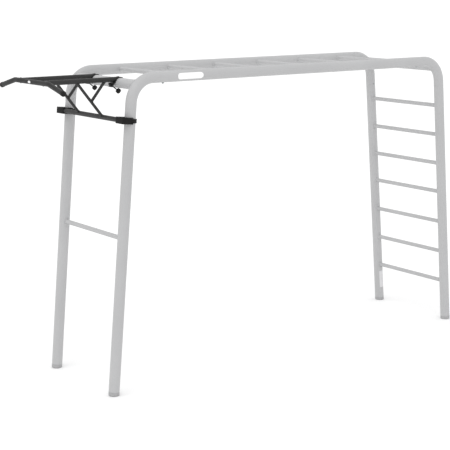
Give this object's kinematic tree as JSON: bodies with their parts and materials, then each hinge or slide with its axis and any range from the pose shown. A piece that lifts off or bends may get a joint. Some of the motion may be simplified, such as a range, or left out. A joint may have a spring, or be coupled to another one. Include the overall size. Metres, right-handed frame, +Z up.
{
  "type": "monkey bars",
  "caption": "Free-standing tube monkey bars with overhead rungs, a ladder end, and a hook-on pull-up bar locked by clamp screws and strapped blocks.",
  "frame": {"origin": "on the ground, at the middle of the whole object's length and width", "axes": "+X along the overhead beams towards the ladder, +Y across the frame, +Z up"},
  "size_m": [3.674, 0.886, 2.1981],
  "materials": {
    "grey_coat": "satin powder coat",
    "charcoal_coat": "satin powder coat",
    "grey_foot": "moulded, matt",
    "zinc_steel": "zinc plated",
    "black_rubber": "moulded, matt",
    "strap_rubber": "moulded, matt",
    "black_plastic": "fine moulded texture",
    "white_badge": "gloss"
  },
  "bodies": {
    "frame": {"beam_front": "grey_coat", "beam_back": "grey_coat", "corner_bend_front_left": "grey_coat", "corner_bend_front_right": "grey_coat", "corner_bend_back_left": "grey_coat", "corner_bend_back_right": "grey_coat", "leg_front_left": "grey_coat", "leg_front_right": "grey_coat", "leg_back_left": "grey_coat", "leg_back_right": "grey_coat", "foot_cap_front_left": "grey_foot", "foot_cap_front_right": "grey_foot", "foot_cap_back_left": "grey_foot", "foot_cap_back_right": "grey_foot", "cross_tube_left": "grey_coat", "cross_tube_right": "grey_coat", "top_rung_1": "grey_coat", "top_rung_2": "grey_coat", "top_rung_3": "grey_coat", "top_rung_4": "grey_coat", "top_rung_5": "grey_coat", "top_rung_6": "grey_coat", "ladder_rung_1": "grey_coat", "ladder_rung_2": "grey_coat", "ladder_rung_3": "grey_coat", "ladder_rung_4": "grey_coat", "ladder_rung_5": "grey_coat", "ladder_rung_6": "grey_coat", "ladder_rung_7": "grey_coat", "leg_crossbar": "grey_coat", "beam_sleeves": "zinc_steel", "leg_sleeves": "zinc_steel", "frame_bolts": "zinc_steel", "frame_nuts": "zinc_steel", "grip_bar": "charcoal_coat", "grip_cap_front": "black_rubber", "grip_cap_back": "black_rubber", "grip_badge": "white_badge", "arm_front": "charcoal_coat", "arm_back": "charcoal_coat", "hook_front": "charcoal_coat", "hook_back": "charcoal_coat", "screw_bosses": "charcoal_coat", "brace_front": "charcoal_coat", "brace_back": "charcoal_coat", "strut_front": "charcoal_coat", "strut_back": "charcoal_coat", "standoff_bar": "charcoal_coat", "saddle_block_front": "black_rubber", "saddle_block_back": "black_rubber", "strap_pins": "zinc_steel"},
    "strap_front": {"strap_front": "strap_rubber"},
    "strap_back": {"strap_back": "strap_rubber"},
    "clamp_screw_front": {"clamp_screw_front": "zinc_steel"},
    "clamp_screw_back": {"clamp_screw_back": "zinc_steel"},
    "knob_front": {"knob_front": "black_plastic"},
    "knob_back": {"knob_back": "black_plastic"}
  },
  "joints": [
    {"name": "strap_front_hinge", "type": "hinge", "parent": "frame", "child": "strap_front", "pos_m": [-1.31344, -0.439, 1.88329], "axis": [-0.0872, 0, -0.9962], "range_deg": [0, 100]},
    {"name": "clamp_screw_front_slide", "type": "slide", "parent": "frame", "child": "clamp_screw_front", "axis": [0.7986, 0, -0.6018], "range_m": [0, 0.0125]},
    {"name": "knob_front_turn", "type": "hinge", "parent": "clamp_screw_front", "child": "knob_front", "pos_m": [-1.29292, -0.155, 2.09856], "axis": [0.7986, 0, -0.6018], "range_deg": [0, 3600]},
    {"name": "strap_back_hinge", "type": "hinge", "parent": "frame", "child": "strap_back", "pos_m": [-1.31344, 0.439, 1.88329], "axis": [0.0872, 0, 0.9962], "range_deg": [0, 100]},
    {"name": "clamp_screw_back_slide", "type": "slide", "parent": "frame", "child": "clamp_screw_back", "axis": [0.7986, 0, -0.6018], "range_m": [0, 0.0125]},
    {"name": "knob_back_turn", "type": "hinge", "parent": "clamp_screw_back", "child": "knob_back", "pos_m": [-1.29292, 0.155, 2.09856], "axis": [0.7986, 0, -0.6018], "range_deg": [0, 3600]}
  ],
  "couplings": [
    {"joint": "knob_front_turn", "follows": "clamp_screw_front_slide", "rad_per_m": 5026.5},
    {"joint": "knob_back_turn", "follows": "clamp_screw_back_slide", "rad_per_m": 5026.5}
  ]
}
